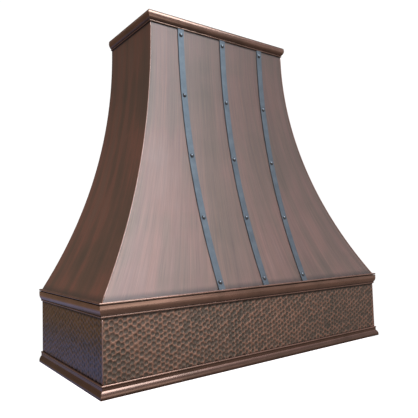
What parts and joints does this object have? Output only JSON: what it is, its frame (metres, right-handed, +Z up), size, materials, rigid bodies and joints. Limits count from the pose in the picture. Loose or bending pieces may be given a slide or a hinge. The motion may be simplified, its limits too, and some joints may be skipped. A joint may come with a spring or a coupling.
{
  "type": "range hood",
  "caption": "Wall-backed copper range hood: swept body with iron straps, hammered apron, mitred mouldings, hinged baffle filters, lamps, controls and a ducted blower.",
  "frame": {"origin": "on the wall plane, midway between the sides, at the lower edge", "axes": "+Y into the wall, the room is towards -Y; +Z up; +X to the right seen from the room"},
  "size_m": [1.219, 0.533, 1.219],
  "materials": {
    "brushed_copper": null,
    "back_copper": "aged copper, plain mill finish",
    "hammered_copper": "aged copper, hand hammered",
    "moulding_copper": "aged copper, arrises rubbed bright",
    "strap_iron": "blue-grey forged iron, waxed",
    "frame_paint": "black primer",
    "stainless": "brushed",
    "baffle_steel": "brushed",
    "galvanised": "galvanised, dull",
    "cast_aluminium": "satin",
    "bright_steel": "zinc plated",
    "rim_chrome": "polished",
    "lamp_glass": "frosted",
    "knob_plastic": "satin black",
    "black_plastic": "moulded",
    "motor_paint": "black enamel",
    "box_paint": "grey enamel"
  },
  "bodies": {
    "hood": {"front_panel": "brushed_copper", "left_panel": "brushed_copper", "right_panel": "brushed_copper", "rear_panel": "back_copper", "apron_front": "hammered_copper", "apron_left": "hammered_copper", "apron_right": "hammered_copper", "crown_front": "moulding_copper", "crown_left": "moulding_copper", "crown_right": "moulding_copper", "mid_moulding_front": "moulding_copper", "mid_moulding_left": "moulding_copper", "mid_moulding_right": "moulding_copper", "base_moulding_front": "moulding_copper", "base_moulding_left": "moulding_copper", "base_moulding_right": "moulding_copper", "strap_left": "strap_iron", "strap_centre": "strap_iron", "strap_right": "strap_iron", "strap_rivets": "strap_iron", "top_frame": "frame_paint", "waist_frame": "frame_paint", "base_frame": "frame_paint", "rear_posts": "frame_paint", "top_plate": "galvanised", "liner_front": "stainless", "liner_rear": "stainless", "liner_left": "stainless", "liner_right": "stainless", "filter_hinge_rod": "stainless", "filter_catches": "stainless", "lamp_bodies": "cast_aluminium", "lamp_rims": "rim_chrome", "lamp_lenses": "lamp_glass", "control_plate": "stainless", "control_box": "black_plastic", "scroll_wrap": "galvanised", "scroll_cheek_left": "galvanised", "scroll_cheek_right": "galvanised", "motor": "motor_paint", "motor_bracket": "galvanised", "outlet_transition": "galvanised", "duct_collar": "galvanised", "damper_pin": "bright_steel", "junction_box": "box_paint", "cable_gland": "black_plastic", "assembly_screws": "bright_steel"},
    "left_filter": {"filter_left": "stainless", "baffles_left": "baffle_steel"},
    "centre_filter": {"filter_centre": "stainless", "baffles_centre": "baffle_steel"},
    "right_filter": {"filter_right": "stainless", "baffles_right": "baffle_steel"},
    "fan_rotor": {"impeller": "cast_aluminium", "motor_shaft": "bright_steel"},
    "front_flap": {"damper_flap_front": "galvanised"},
    "rear_flap": {"damper_flap_rear": "galvanised"},
    "fan_control": {"fan_knob": "knob_plastic"},
    "light_control": {"light_knob": "knob_plastic"},
    "cup": {"grease_cup": "stainless"}
  },
  "joints": [
    {"name": "left_filter_hinge", "type": "hinge", "parent": "hood", "child": "left_filter", "pos_m": [0, -0.0875, 0.1], "axis": [1, 0, 0], "range_deg": [0, 75]},
    {"name": "centre_filter_hinge", "type": "hinge", "parent": "hood", "child": "centre_filter", "pos_m": [0, -0.0875, 0.1], "axis": [1, 0, 0], "range_deg": [0, 75]},
    {"name": "right_filter_hinge", "type": "hinge", "parent": "hood", "child": "right_filter", "pos_m": [0, -0.0875, 0.1], "axis": [1, 0, 0], "range_deg": [0, 75]},
    {"name": "fan_spin", "type": "hinge", "parent": "hood", "child": "fan_rotor", "pos_m": [0, -0.2385, 0.56], "axis": [1, 0, 0], "continuous": true},
    {"name": "front_flap_hinge", "type": "hinge", "parent": "hood", "child": "front_flap", "pos_m": [0, -0.1585, 1.0835], "axis": [-1, 0, 0], "range_deg": [0, 78]},
    {"name": "rear_flap_hinge", "type": "hinge", "parent": "hood", "child": "rear_flap", "pos_m": [0, -0.1585, 1.0835], "axis": [1, 0, 0], "range_deg": [0, 78]},
    {"name": "fan_knob_turn", "type": "hinge", "parent": "hood", "child": "fan_control", "pos_m": [-0.038, -0.4655, 0.02], "axis": [0, 0, -1], "range_deg": [0, 270]},
    {"name": "light_knob_turn", "type": "hinge", "parent": "hood", "child": "light_control", "pos_m": [0.038, -0.4655, 0.02], "axis": [0, 0, -1], "range_deg": [0, 270]},
    {"name": "grease_cup_drop", "type": "slide", "parent": "hood", "child": "cup", "axis": [0, 0, -1], "range_m": [0, 0.04]}
  ]
}
